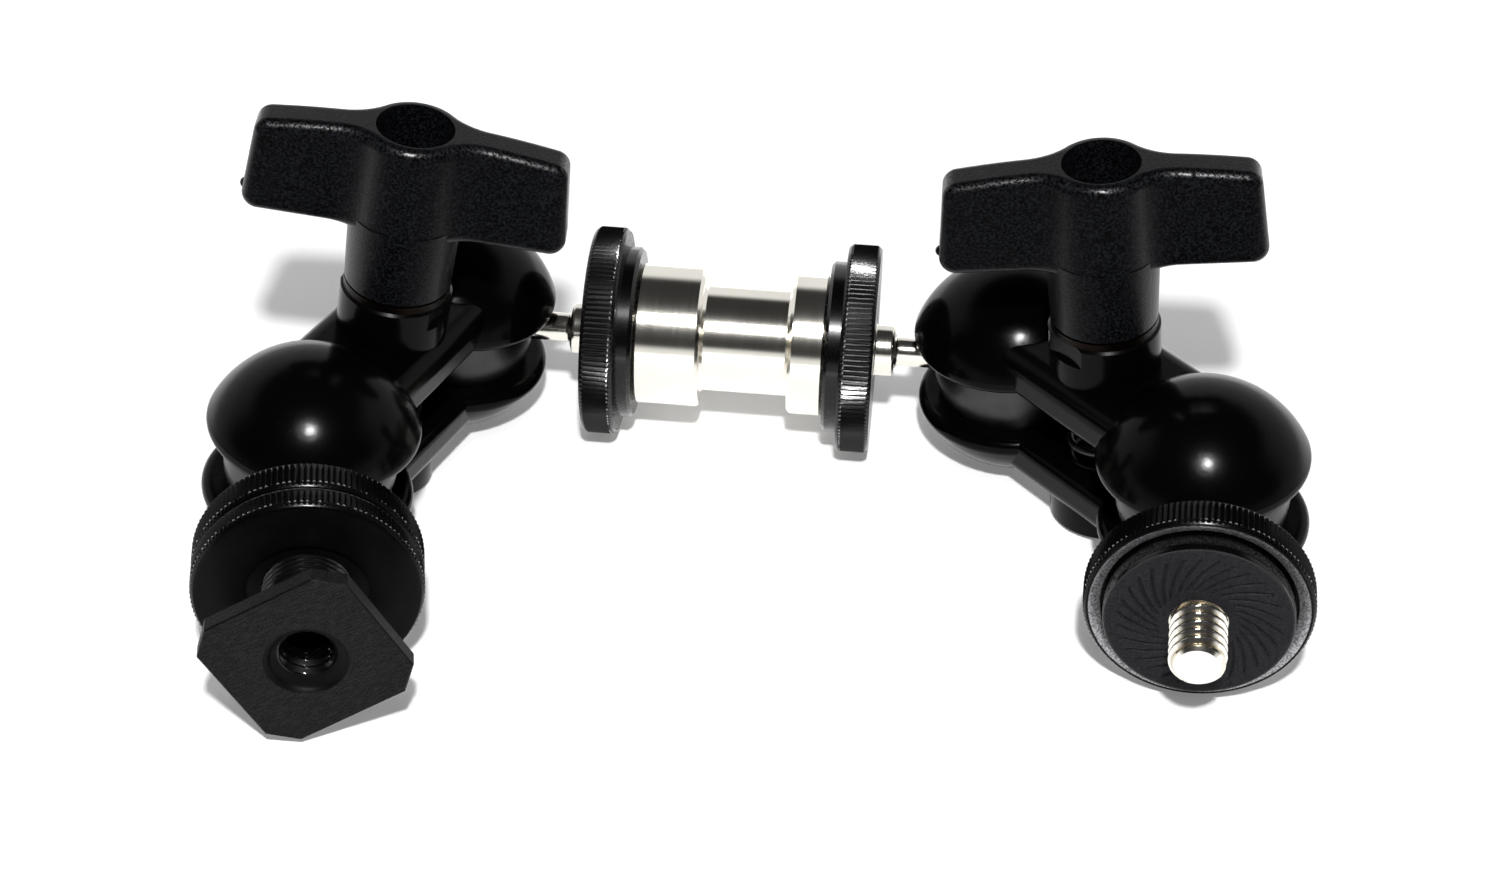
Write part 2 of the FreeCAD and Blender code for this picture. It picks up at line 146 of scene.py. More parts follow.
class ArmColours(bpy.types.PropertyGroup):
    """Base colours of the finishes and of the stage."""
    shell: colour("Shell", "Gloss black of the clamp shells", (0.0006, 0.0006, 0.0006))
    knob: colour("Knob", "Moulded plastic of the knobs", (0.0013, 0.0014, 0.0017))
    black: colour("Black metal", "Anodised discs, wheel and foot", (0.0032, 0.0032, 0.0033))
    ring: colour("Ring", "Satin ring round a disc's recess", (0.33, 0.33, 0.34))
    bare: colour("Bare metal", "Where the black is rubbed off", (0.50, 0.50, 0.51))
    rubber: colour("Rubber", "Pads", (0.0046, 0.0046, 0.0054))
    nickel: colour("Nickel", "Plated spool, stems and stud", (0.93, 0.90, 0.82))
    # Painted shade: a darker brown colour for the roots of a thread, standing in for the shade
    # in its grooves
    thread_root_shade: colour("Thread root", "Plating in the roots of a thread", (0.36, 0.30, 0.20))
    steel: colour("Steel", "Balls, bolts and springs", (0.06, 0.06, 0.062))
    # Brass darkened to near black: painted shade for washers and inserts that sit in the gaps
    # under the knobs and down their holes
    brass: colour("Brass", "Washers and inserts", (0.0065, 0.0045, 0.0034))
    floor: colour("Floor", "Paper under the arm", (0.80, 0.80, 0.80))


def sizes():
    return bpy.context.scene.arm_sizes


def colours():
    return bpy.context.scene.arm_colours


# Node graphs written as Python expressions

class Wire:
    """An output socket that takes part in expressions."""

    def __init__(self, graph, socket):
        self.graph = graph
        self.socket = socket

    def math(self, operation, *others):
        return self.graph.node("ShaderNodeMath", {"operation": operation}, [self, *others])

    def __add__(self, other):
        return self.math("ADD", other)

    def __sub__(self, other):
        return self.math("SUBTRACT", other)

    def __rsub__(self, other):
        return self.graph.node("ShaderNodeMath", {"operation": "SUBTRACT"}, [other, self])

    def __mul__(self, other):
        return self.math("MULTIPLY", other)

    def __truediv__(self, other):
        return self.math("DIVIDE", other)

    __radd__ = __add__
    __rmul__ = __mul__

    def clamp(self):
        """The value kept between 0 and 1."""
        return self.math("MAXIMUM", 0.0).math("MINIMUM", 1.0)

    def step(self, low, high):
        """0 below low, 1 above high and smooth between them."""
        settings = {"interpolation_type": "SMOOTHSTEP"}
        inputs = {"Value": self, "From Min": low, "From Max": high}
        return self.graph.node("ShaderNodeMapRange", settings, inputs)


class Graph:
    """A node tree that is filled with one method."""

    def __init__(self, tree):
        self.tree = tree

    def node(self, kind, settings=None, inputs=None, out=0):
        """Adds a node: its settings first, then the values or links of its sockets."""
        node = self.tree.nodes.new(kind)
        for name, value in (settings or {}).items():
            setattr(node, name, value)
        pairs = inputs.items() if isinstance(inputs, dict) else enumerate(inputs or [])
        for key, value in pairs:
            if isinstance(value, Wire):
                self.tree.links.new(value.socket, node.inputs[key])
            else:
                node.inputs[key].default_value = value
        return Wire(self, node.outputs[out])


# Places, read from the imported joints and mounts

def axes_from(x, y=None):
    """Rotation whose first axis is x and whose second lies nearest to y."""
    x = Vector(x).normalized()
    y = Vector(y) if y is not None else Vector((0, 0, 1)).cross(x)
    z = x.cross(y).normalized()
    y = z.cross(x)
    return Matrix((x, y, z)).transposed().to_4x4()


def stud_place(side, end):
    """Frame of a ball stud: its ball at the origin and its stem along +X."""
    joint = JOINTS[f"{side}_{end}_twist"]
    x = Vector(joint["axis"])
    if (side, end) == ("right", "inner"):
        x = -x
    y = MOUNTS["shoe_slide"]["axis"] if (side, end) == ("left", "outer") else None
    return Matrix.Translation(joint["pos_m"]) @ axes_from(x, y)


# Meshes made of rings

def circle(x, radius, angles):
    """Ring of points round the X axis."""
    r = np.full_like(angles, radius)
    return np.stack([np.full_like(angles, x), r * np.cos(angles), r * np.sin(angles)], 1)


def even_angles(n):
    return np.arange(n) * FULL_TURN / n


def even_shares(n):
    """The n steps from just above 0 to 1."""
    return [(k + 1) / n for k in range(n)]


def tube(name, rings, weights, closed):
    """Quads between successive rings; a closed tube joins its last ring to its first,
    and an open one has a flat face at each end."""
    n = len(rings[0])
    points = np.concatenate(rings)
    total = len(rings)
    faces = []
    for i in range(total if closed else total - 1):
        a, b = i * n, (i + 1) % total * n
        faces += [(a + k, a + (k + 1) % n, b + (k + 1) % n, b + k) for k in range(n)]
    if not closed:
        faces.append(tuple(range(n)))
        faces.append(tuple(range((total - 1) * n, total * n)))
    mesh = bpy.data.meshes.new(name)
    mesh.from_pydata(points.tolist(), [], faces)
    form = bmesh.new()
    form.from_mesh(mesh)
    bmesh.ops.recalc_face_normals(form, faces=form.faces)
    form.to_mesh(mesh)
    form.free()
    layer = mesh.attributes.new("cut", "FLOAT", "POINT")
    layer.data.foreach_set("value", np.repeat(np.array(weights, np.float32), n))
    return mesh


def lathe(name, profile, n, closed=True):
    """Turned form with n points round it, from (x, radius, weight) points."""
    angles = even_angles(n)
    rings = [circle(x, r, angles) for x, r, _ in profile]
    return tube(name, rings, [w for _, _, w in profile], closed)


def fillet(points, radius, steps=5):
    """Rounds every corner between the two ends of an (x, radius, weight) profile."""
    made = [points[0]]
    for before, at, after in zip(points, points[1:], points[2:]):
        a, p, b = (Vector(q[:2]) for q in (before, at, after))
        nearest = min((a - p).length, (b - p).length)
        r = min(radius, nearest * 0.45)
        start = p + (a - p).normalized() * r
        end = p + (b - p).normalized() * r
        for k in range(steps + 1):
            t = k / steps
            q = start.lerp(p, t).lerp(p.lerp(end, t), t)
            made.append((q.x, q.y, at[2]))
    return made + [points[-1]]


# Geometry Nodes trees; each works on a mesh whose axis is X

class ShapeTree(Graph):
    """A geometry tree with named inputs that moves points along their radius or the axis."""

    def __init__(self, name, inputs):
        super().__init__(bpy.data.node_groups.new(name, "GeometryNodeTree"))
        face = self.tree.interface
        face.new_socket(name="Geometry", in_out="INPUT", socket_type="NodeSocketGeometry")
        self.ids = {}
        for label, kind in inputs.items():
            socket = face.new_socket(name=label, in_out="INPUT", socket_type=f"NodeSocket{kind}")
            self.ids[label] = socket.identifier
        face.new_socket(name="Geometry", in_out="OUTPUT", socket_type="NodeSocketGeometry")
        self.entry = self.tree.nodes.new("NodeGroupInput")
        self.geometry = Wire(self, self.entry.outputs["Geometry"])
        where = self.node("GeometryNodeInputPosition")
        split = self.node("ShaderNodeSeparateXYZ", None, [where]).socket.node
        self.x, self.y, self.z = (Wire(self, split.outputs[k]) for k in range(3))
        self.angle = self.z.math("ARCTAN2", self.y)
        self.radius = (self.y * self.y + self.z * self.z).math("SQRT")
        named = {"data_type": "FLOAT"}
        self.cut = self.node("GeometryNodeInputNamedAttribute", named, {"Name": "cut"})

    def given(self, label):
        """The value of a named input."""
        return Wire(self, self.entry.outputs[label])

    def wave(self, turns):
        """Triangle wave: 0 at whole turns and 1 half way between."""
        return 1 - (turns.math("FRACT") - 0.5).math("ABSOLUTE") * 2

    def move(self, x, radial):
        """Moves every point by x along the axis and by radial away from it."""
        y = self.y / self.radius.math("MAXIMUM", 1e-6) * radial
        z = self.z / self.radius.math("MAXIMUM", 1e-6) * radial
        shift = self.node("ShaderNodeCombineXYZ", None, [x, y, z])
        self.geometry = self.node("GeometryNodeSetPosition", None,
                                  {"Geometry": self.geometry, "Offset": shift})

    def keep(self, label, value):
        """Stores a value at each point, for the finishes to read."""
        self.geometry = self.node("GeometryNodeStoreNamedAttribute", {"data_type": "FLOAT"},
                                  {"Geometry": self.geometry, "Name": label, "Value": value})

    def finish(self):
        """Ends the tree with real geometry in its material."""
        real = self.node("GeometryNodeRealizeInstances", None, [self.geometry])
        dressed = self.node("GeometryNodeSetMaterial", None,
                            {"Geometry": real, "Material": self.given("Material")})
        out = self.tree.nodes.new("NodeGroupOutput")
        self.tree.links.new(dressed.socket, out.inputs["Geometry"])
        return self


def rim_teeth():
    """Straight teeth cut round a rim that was bevelled on both edges."""
    inputs = {"Teeth": "Int", "Depth": "Float", "Radius": "Float", "Material": "Material"}
    tree = ShapeTree("rim_teeth", inputs)
    crest = tree.wave(tree.angle / FULL_TURN * tree.given("Teeth"))
    tree.keep("crest", crest * tree.cut)
    tooth = tree.given("Radius") + (crest - 1) * tree.given("Depth")
    tree.move(0.0, (tree.radius.math("MINIMUM", tooth) - tree.radius) * tree.cut)
    return tree.finish()


def helical_thread():
    """Thread with flat crests. Where the attribute cut is above 0 the turns are cut into a
    post, and where it is below 0 they stand in from the wall of a hole."""
    inputs = {"Pitch": "Float", "Hole pitch": "Float", "Depth": "Float", "Material": "Material"}
    tree = ShapeTree("helical_thread", inputs)
    hole = tree.cut.math("LESS_THAN", 0.0)
    pitch = tree.given("Pitch") * (1 - hole) + tree.given("Hole pitch") * hole
    turns = tree.x / pitch - tree.angle / FULL_TURN
    flat_root, flank = 0.08, 0.72
    crest = ((tree.wave(turns) - flat_root) / flank).clamp()
    tree.keep("crest", crest * tree.cut.math("ABSOLUTE"))
    outside = (crest - 1) * tree.cut.math("MAXIMUM", 0.0)
    inside = crest * tree.cut.math("MINIMUM", 0.0)
    tree.move(0.0, (outside + inside) * tree.given("Depth"))
    return tree.finish()


def swirl_grooves():
    """Curved grooves sunk into a flat face."""
    inputs = {"Grooves": "Int", "Depth": "Float", "Start": "Float", "End": "Float",
              "Twist": "Float", "Material": "Material"}
    tree = ShapeTree("swirl_grooves", inputs)
    start, end = tree.given("Start"), tree.given("End")
    sweep = (tree.radius / start).math("LOGARITHM", math.e) * tree.given("Twist")
    turns = (tree.angle - sweep) / FULL_TURN * tree.given("Grooves")
    middle = tree.wave(turns)
    width, taper = 0.46 * MM, 0.35 * MM
    spacing = tree.radius * FULL_TURN / tree.given("Grooves")
    away = (1 - middle) * spacing * 0.5
    groove = 1 - away.step(width * 0.25, width * 0.5)
    begun = tree.radius.step(start, start + taper)
    ended = tree.radius.step(end - taper, end)
    sunk = groove * (begun * (1 - ended)) * tree.cut
    tree.keep("crest", sunk)
    tree.move(sunk * tree.given("Depth") * -1, 0.0)
    return tree.finish()


def grown(name, mesh, tree, values, material):
    """Mesh that the tree makes from the given mesh, as plain faces."""
    holder = bpy.data.objects.new(name, mesh)
    bpy.context.scene.collection.objects.link(holder)
    modifier = holder.modifiers.new("shape", "NODES")
    modifier.node_group = tree.tree
    for label, value in {**values, "Material": material}.items():
        modifier[tree.ids[label]] = value
    depsgraph = bpy.context.evaluated_depsgraph_get()
    made = bpy.data.meshes.new_from_object(holder.evaluated_get(depsgraph),
                                           preserve_all_data_layers=True, depsgraph=depsgraph)
    holder.modifiers.clear()
    bpy.data.objects.remove(holder)
    return made


def piece(name, mesh, place, material, node, body, sharp=35):
    """Puts a finished mesh in its place, in the stead of a CAD node.
    Edges that turn by more than sharp degrees stay sharp."""
    mesh.transform(place)
    mesh.shade_smooth()
    mesh.set_sharp_from_angle(angle=math.radians(sharp))
    mesh.materials.clear()
    mesh.materials.append(material)
    obj = bpy.data.objects.new(name, mesh)
    bpy.context.scene.collection.objects.link(obj)
    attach(obj, body)
    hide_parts(node)


# Finishes. Noise scales count cells per metre, and all patterns read Object coordinates.
# A Mix node's colour sockets go by number, because it has other sockets of the same names.

MIX_LOW, MIX_HIGH, MIX_OUT = 6, 7, 2


def new_material(name):
    """The graph of a new material, and its shader."""
    material = bpy.data.materials.new(name)
    material.use_nodes = True
    return Graph(material.node_tree), material.node_tree.nodes["Principled BSDF"]


def local_point(graph, place=None):
    """Object coordinates, seen from the frame of a piece where one is given."""
    where = graph.node("ShaderNodeTexCoord", None, None, "Object")
    if place is None:
        return where
    inputs = {"Vector": where, "Location": place.to_translation(), "Rotation": place.to_euler()}
    return graph.node("ShaderNodeMapping", {"vector_type": "TEXTURE"}, inputs)


def scaled(graph, vector, scale):
    """Coordinates that stretch a pattern along the axes whose scale is small."""
    inputs = {"Vector": vector, "Scale": scale}
    return graph.node("ShaderNodeMapping", {"vector_type": "POINT"}, inputs)


def noise(graph, vector, scale, detail, rough=0.5):
    inputs = {"Vector": vector, "Scale": scale, "Detail": detail, "Roughness": rough}
    return graph.node("ShaderNodeTexNoise", None, inputs)


def mixed(graph, factor, low, high):
    """Colour that runs from low to high; each of them is a wire or four numbers."""
    inputs = {"Factor": factor, MIX_LOW: low, MIX_HIGH: high}
    return graph.node("ShaderNodeMix", {"data_type": "RGBA"}, inputs, MIX_OUT)


def tint(graph, base, low, high, factor):
    """Colour that runs from low to high times the given one."""
    return mixed(graph, factor, (*(c * low for c in base), 1), (*(c * high for c in base), 1))


def marked(graph, label):
    """Value that the mesh stores at its points under this name."""
    return graph.node("ShaderNodeAttribute", {"attribute_name": label}, None, "Fac")


def join(graph, shader, **inputs):
    """Sets or links the shader's sockets, named with underscores for spaces."""
    for label, value in inputs.items():
        socket = shader.inputs[label.replace("_", " ")]
        if isinstance(value, Wire):
            graph.tree.links.new(value.socket, socket)
        else:
            socket.default_value = value


def bump(graph, height, distance, strength):
    inputs = {"Strength": strength, "Distance": distance, "Height": height}
    return graph.node("ShaderNodeBump", None, inputs)


def shell_finish():
    """Gloss black paint over a casting: a faint orange peel and a few dull patches."""
    graph, shader = new_material("gloss_black_paint")
    where = local_point(graph)
    cloud = noise(graph, where, 90, 3)
    peel = noise(graph, where, 900, 2)
    specks = noise(graph, where, 5200, 1).step(0.70, 0.78)
    join(graph, shader,
         Base_Color=tint(graph, colours().shell, 0.7, 1.6, cloud),
         Roughness=0.14 + cloud * 0.08 + specks * 0.15,
         Normal=bump(graph, peel, 0.04 * MM, 0.30),
         Specular_IOR_Level=0.075)


def knob_finish():
    """Moulded plastic with a fine stipple and paler worn grains.
    Its sheen lies where the surface slants away and on the rounding below the flat tops."""
    graph, shader = new_material("stippled_plastic")
    where = local_point(graph)
    cloud = noise(graph, where, 160, 3)
    stipple = noise(graph, where, 3200, 3, 0.6)
    grain = noise(graph, where, 6500, 2).step(0.62, 0.72)
    slant = graph.node("ShaderNodeLayerWeight", None, {"Blend": 0.5}, "Facing")
    outward = graph.node("ShaderNodeTexCoord", None, None, "Normal")
    up = graph.node("ShaderNodeSeparateXYZ", None, {"Vector": outward}, "Z")
    rounding = up.step(0.35, 0.60) * (1 - up.step(0.80, 0.93))
    sheen = slant.step(0.20, 0.60) * 0.45 + rounding * stipple.step(0.40, 0.56) * 0.5
    pale = stipple.step(0.40, 0.66) * 0.7 + grain * 0.3
    join(graph, shader,
         Base_Color=tint(graph, colours().knob, 0.3, 6.5, pale),
         Roughness=0.27 + cloud * 0.10 - grain * 0.08,
         Coat_Weight=sheen,
         Coat_Roughness=0.3,
         Normal=bump(graph, stipple, 0.12 * MM, 0.8),
         Specular_IOR_Level=0.025)


def metal_finish(name, dark, gloss, lacquer):
    """Black anodised metal, rubbed bare at the corners of the teeth.
    dark scales its black; below 1 it makes a darker copy of the same metal, which is painted
    shade. gloss is its specular level, and lacquer coats the teeth."""
    graph, shader = new_material(name)
    where = local_point(graph)
    cloud = noise(graph, where, 220, 3)
    fine = noise(graph, where, 4200, 2)
    crest, ring, teeth, corner = (
        marked(graph, label) for label in ("crest", "ring", "cut", "corner"))
    patchy = noise(graph, where, 900, 1).step(0.42, 0.56)
    worn = corner.step(0.10, 0.5) * crest.step(0.40, 0.85) * patchy
    black = tint(graph, colours().black, 0.3 * dark, 1.6 * dark, cloud * (1 - teeth * 0.6))
    satin = tint(graph, colours().ring, 0.35, 1.65, cloud * 0.2 + fine.step(0.34, 0.66) * 0.8)
    toned = mixed(graph, ring, black, satin)
    join(graph, shader,
         Base_Color=mixed(graph, worn, toned, (*colours().bare, 1)),
         Metallic=(ring * 0.85).math("MAXIMUM", worn),
         Roughness=0.26 + fine * 0.14 - teeth * 0.10 + ring * 0.06,
         Coat_Weight=teeth * lacquer,
         Coat_Roughness=0.12,
         Normal=bump(graph, fine, 0.03 * MM, 0.5),
         Specular_IOR_Level=gloss)


def foot_finish(place):
    """Matt black plate with a grain brushed along one of its sides."""
    graph, shader = new_material("brushed_black")
    where = local_point(graph, place)
    grain = noise(graph, scaled(graph, where, (1, 0.12, 1)), 7000, 3, 0.65)
    cloud = noise(graph, where, 260, 3)
    cut = marked(graph, "cut").math("ABSOLUTE")
    thread = cut.step(0.02, 0.09)
    edge = marked(graph, "edge")
    speck = noise(graph, where, 5200, 2, 0.6).step(0.40, 0.72)
    marks = grain.step(0.42, 0.72) * 0.5 + speck * 0.5
    # The threads of the post and of the hole, and the countersink, take the lowest black:
    # painted shade inside the hole and on the post in the gap behind the plate
    face = tint(graph, colours().black, 0.08, 5.6, marks * (1 - thread))
    join(graph, shader,
         # The bevels round the plate's front are mixed towards near black: painted shade that
         # draws the plate's edges as thin dark lines
         Base_Color=mixed(graph, edge * 0.75, face, (*colours().shell, 1)),
         Coat_Weight=cut.step(0.92, 1.0) * 0.5,
         Coat_Roughness=0.06,
         Roughness=0.42 + marks * 0.16 + cloud * 0.05 - edge * 0.12,
         Normal=bump(graph, marks * (1 - thread), 0.04 * MM, 0.8),
         Specular_IOR_Level=0.08)


def rubber_finish(name, smooth):
    """Grained rubber. It is blacker and smoother where the mesh marks its side,
    and all over where smooth is 1."""
    graph, shader = new_material(name)
    where = local_point(graph)
    fine = noise(graph, where, 4200, 3, 0.65)
    cloud = noise(graph, where, 300, 3)
    side = marked(graph, "side").math("MAXIMUM", smooth)
    tone = (0.10 + cloud * 0.2 + fine.step(0.34, 0.66) * 0.7) * (1 - side)
    join(graph, shader,
         Base_Color=tint(graph, colours().rubber, 0.12, 3.6, tone),
         Roughness=0.48 + fine * 0.18 - side * 0.30,
         Coat_Weight=side * 0.5,
         Coat_Roughness=0.12,
         Normal=bump(graph, fine * (1 - side), 0.09 * MM, 0.7),
         Specular_IOR_Level=0.09)


def nickel_finish(name, place):
    """Bright plated metal with faint rings left by the lathe."""
    graph, shader = new_material(name)
    where = local_point(graph, place)
    rings = noise(graph, scaled(graph, where, (1, 0.02, 0.02)), 5200, 2)
    cloud = noise(graph, where, 140, 3)
    plated = tint(graph, colours().nickel, 0.92, 1.05, cloud)
    # Painted shade: the roots of the thread get a darker brown colour where shade falls in its
    # grooves
    root_shade = marked(graph, "cut") * (1 - marked(graph, "crest").step(0.1, 0.8))
    join(graph, shader,
         Base_Color=mixed(graph, root_shade, plated, (*colours().thread_root_shade, 1)),
         Metallic=1.0,
         Roughness=0.09 + rings * 0.07 + cloud * 0.03 + root_shade * 0.08,
         Normal=bump(graph, rings, 0.012 * MM, 0.4))


def steel_finish(name, base, rough):
    """Bare metal of the parts inside the clamps."""
    graph, shader = new_material(name)
    where = local_point(graph)
    cloud = noise(graph, where, 400, 3)
    fine = noise(graph, where, 5200, 2)
    join(graph, shader,
         Base_Color=tint(graph, base, 0.7, 1.2, cloud),
         Metallic=1.0,
         Roughness=rough + fine * 0.12,
         Normal=bump(graph, fine, 0.02 * MM, 0.4))


def finish(key):
    return bpy.data.materials[key]


def paint(node, material):
    """Gives a CAD node a finish."""
    obj = frame["nodes"][node]
    for slot in obj.material_slots:
        slot.material = material


# Operators

class ARM_OT_finishes(bpy.types.Operator):
    """Make every finish of the arm"""
    bl_idname = "arm.finishes"
    bl_label = "Finishes"

    def execute(self, context):
        shell_finish()
        knob_finish()
        metal_finish("black_anodised", 1.0, 0.26, 0.16)
        # The end discs and the lock wheel get darker copies of the same anodised metal: painted
        # shade
        metal_finish("black_end_shaded", 0.5, 0.05, 0.06)
        metal_finish("black_wheel_shaded", 0.6, 0.06, 0.06)
        foot_finish(stud_place("left", "outer"))
        rubber_finish("black_rubber", 0.0)
        rubber_finish("smooth_rubber", 1.0)
        nickel_finish("nickel_bar", stud_place("left", "inner"))
        nickel_finish("nickel_stud", stud_place("right", "outer"))
        nickel_finish("nickel_post", stud_place("left", "outer"))
        steel_finish("dark_steel", colours().steel, 0.3)
        # The brass finish is near black: painted shade for the washers and inserts in the gaps
        # under the knobs and down their holes
        steel_finish("brass_painted_shade", colours().brass, 0.35)
        return {"FINISHED"}


class ARM_OT_cad_finishes(bpy.types.Operator):
    """Give the nodes that keep their CAD shape their finish"""
    bl_idname = "arm.cad_finishes"
    bl_label = "Finishes of the plain parts"

    def execute(self, context):
        paint("spool", finish("nickel_bar"))
        for side in SIDES:
            for part in ("upper_shell", "lower_shell"):
                paint(f"{side}_{part}", finish("gloss_black_paint"))
            paint(f"{side}_knob", finish("stippled_plastic"))
            for part in ("inner_ball", "outer_ball", "clamp_bolt", "spring"):
                paint(f"{side}_{part}", finish("dark_steel"))
            # Washers and inserts take the brass that is painted near black for the shade of
            # their gaps
            for part in ("thrust_washer", "knob_insert"):
                paint(f"{side}_{part}", finish("brass_painted_shade"))
            paint(f"{side}_inner_pad", finish("smooth_rubber"))
        paint("left_outer_pad", finish("black_rubber"))
        return {"FINISHED"}


POINTS_PER_TOOTH = 4


def rim_points(s, back, front):
    """Toothed rim with a bevel on both edges, from the back to the front."""
    deep, wide, steps = s.bevel_length, s.bevel_width, 6
    worn_width = 0.1 * MM
    shares = [k / steps for k in range(steps + 1)]
    radii = [s.disc_radius - wide * (1 - t) for t in shares]
    rise = [(back + SOFT_CORNER + deep * t, r, 1) for t, r in zip(shares, radii)]
    fall = [(front - SOFT_CORNER - deep * t, r, 1) for t, r in zip(shares, radii)]
    inside = [(front - SOFT_CORNER - deep - worn_width, s.disc_radius, 1)]
    foot = radii[0] - SOFT_CORNER
    return [(back, foot, 1), *rise, *inside, *reversed(fall), (front, foot, 1)]


def mark(mesh, label, test):
    """Stores 1 at the points that pass the test and 0 at the others."""
    points = np.empty(len(mesh.vertices) * 3, np.float32)
    mesh.vertices.foreach_get("co", points)
    layer = mesh.attributes.new(label, "FLOAT", "POINT")
    layer.data.foreach_set("value", test(*points.reshape(-1, 3).T).astype(np.float32))


def mark_corners(mesh, s, front):
    """Marks where the teeth meet the front bevel."""
    at = front - SOFT_CORNER - s.bevel_length

    def on_corner(x, y, z):
        return (abs(x - at) < PICK_REACH) & (np.hypot(y, z) > s.disc_radius - PICK_REACH)

    mark(mesh, "corner", on_corner)


def disc_profile(s):
    """Back, toothed rim, smooth ring and recess, going round the section."""
    hole = s.shank_radius + TIGHT_FIT
    floor = s.disc_front - s.recess_depth
    outer_round, inner_round, inner_drop = 0.12 * MM, 0.1 * MM, 0.05 * MM
    return [
        (s.disc_back, hole, 0),
        *rim_points(s, s.disc_back, s.disc_front),
        (s.disc_front, s.ring_radius, 0),
        (s.disc_front - SOFT_CORNER, s.ring_radius - outer_round, 0),
        (s.disc_front - s.ring_slope + SOFT_CORNER, s.recess_radius + inner_round, 0),
        (s.disc_front - s.ring_slope - inner_drop, s.recess_radius, 0),
        (floor, s.recess_radius, 0),
        (floor, hole, 0),
    ]


class ARM_OT_discs(bpy.types.Operator):
    """Make the four toothed discs behind the pads"""
    bl_idname = "arm.discs"
    bl_label = "Toothed discs"

    def execute(self, context):
        s = sizes()
        tree = rim_teeth()
        values = {"Teeth": s.teeth, "Depth": s.tooth_depth, "Radius": s.disc_radius}

        def on_ring(x, y, z):
            margin = 0.05 * MM
            r = np.hypot(y, z)
            ahead = x > s.disc_front - s.recess_depth * 0.7
            return ahead & (r > s.recess_radius + margin) & (r < s.ring_radius - margin)

        for side in SIDES:
            for end, body in (("inner", "spool_bar"), ("outer", f"{side}_end")):
                node = f"{side}_{end}_disc"
                # The end discs take the darker copy of the disc metal: painted shade
                metal = finish("black_anodised" if end == "inner" else "black_end_shaded")
                base = lathe(node + "_base", disc_profile(s), s.teeth * POINTS_PER_TOOTH)
                mark(base, "ring", on_ring)
                mark_corners(base, s, s.disc_front)
                mesh = grown(node + "_base", base, tree, values, metal)
                piece(node + "_toothed", mesh, stud_place(side, end), metal,
                      node, body)
        return {"FINISHED"}


class ARM_OT_wheel(bpy.types.Operator):
    """Make the lock wheel in front of the left disc"""
    bl_idname = "arm.wheel"
    bl_label = "Lock wheel"

    def execute(self, context):
        s = sizes()
        bore = s.post_radius + LOOSE_FIT
        front, back = s.wheel_front, s.wheel_back
        face_edge = s.ring_radius - 0.4 * MM
        recess, recess_edge = 6.75 * MM, 6.9 * MM
        shallow, deep = 0.1 * MM, 0.8 * MM
        profile = [
            (back, bore, 0),
            *rim_points(s, back, front),
            (front, face_edge, 0),
            (front, recess_edge, 0),
            (front - shallow, recess, 0),
            (front - deep, recess, 0),
            (front - deep, bore, 0),
        ]
        base = lathe("wheel_base", profile, s.teeth * POINTS_PER_TOOTH)
        mark_corners(base, s, front)
        values = {"Teeth": s.teeth, "Depth": s.tooth_depth, "Radius": s.disc_radius}
        # The lock wheel takes a darker copy of the disc metal: painted shade for its place
        # between its disc and the plate
        mesh = grown("wheel_base", base, rim_teeth(), values, finish("black_wheel_shaded"))
        piece("lock_wheel_toothed", mesh, stud_place("left", "outer"), finish("black_wheel_shaded"),
              "lock_wheel", "lock_wheel")
        return {"FINISHED"}


def thread_rings(x0, x1, radius, step, weight):
    """Points of a straight run, close enough for the turns of a thread."""
    n = max(2, round(abs(x1 - x0) / step))
    return [(x0 + (x1 - x0) * k / n, radius, weight) for k in range(n + 1)]


def stem_profile(s, front, stud_end):
    """Neck, rounded collar, shank up to the pad's front, and threaded stud."""
    neck = [(4.1, 0.3), (4.1, 1.75), (14.9, 1.75), (14.9, 3.1), (17.3, 3.1), (17.3, 3.5)]
    points = fillet([(x * MM, r * MM, 0) for x, r in neck], 0.75 * MM)
    tip = 0.8 * MM
    shank_end = front - 0.05 * MM
    turn_rings = 24
    points.append((shank_end, s.shank_radius, 0))
    points.append((shank_end, s.stud_radius - s.thread_depth, 0))
    points += thread_rings(front, stud_end - tip, s.stud_radius, s.pitch / turn_rings, 1)
    points.append((stud_end - tip * 0.45, s.stud_radius - tip * 0.5, 0.3))
    points.append((stud_end, s.stud_radius - tip, 0))
    return points


class ARM_OT_stems(bpy.types.Operator):
    """Make the four stems with their threaded studs"""
    bl_idname = "arm.stems"
    bl_label = "Stems"

    def execute(self, context):
        s = sizes()
        tree = helical_thread()
        values = {"Pitch": s.pitch, "Hole pitch": s.pitch, "Depth": s.thread_depth}
        points_round = 72
        pressed_pad = 21.65 * MM
        hidden = 7.0 * MM
        bar_end, post_end = s.pad_front + hidden, s.wheel_back + hidden
        cases = [
            ("left", "inner", s.pad_front, bar_end, "spool_bar", "nickel_bar"),
            ("right", "inner", s.pad_front, bar_end, "spool_bar", "nickel_bar"),
            ("left", "outer", pressed_pad, post_end, "left_end", "nickel_post"),
            ("right", "outer", s.pad_front, s.stud_end, "right_end", "nickel_stud"),
        ]
        for side, end, front, stud_end, body, key in cases:
            node = f"{side}_{end}_stem"
            profile = stem_profile(s, front, stud_end)
            base = lathe(node + "_base", profile, points_round, closed=False)
            mesh = grown(node + "_base", base, tree, values, finish(key))
            piece(node + "_threaded", mesh, stud_place(side, end), finish(key),
                  node, body)
        return {"FINISHED"}


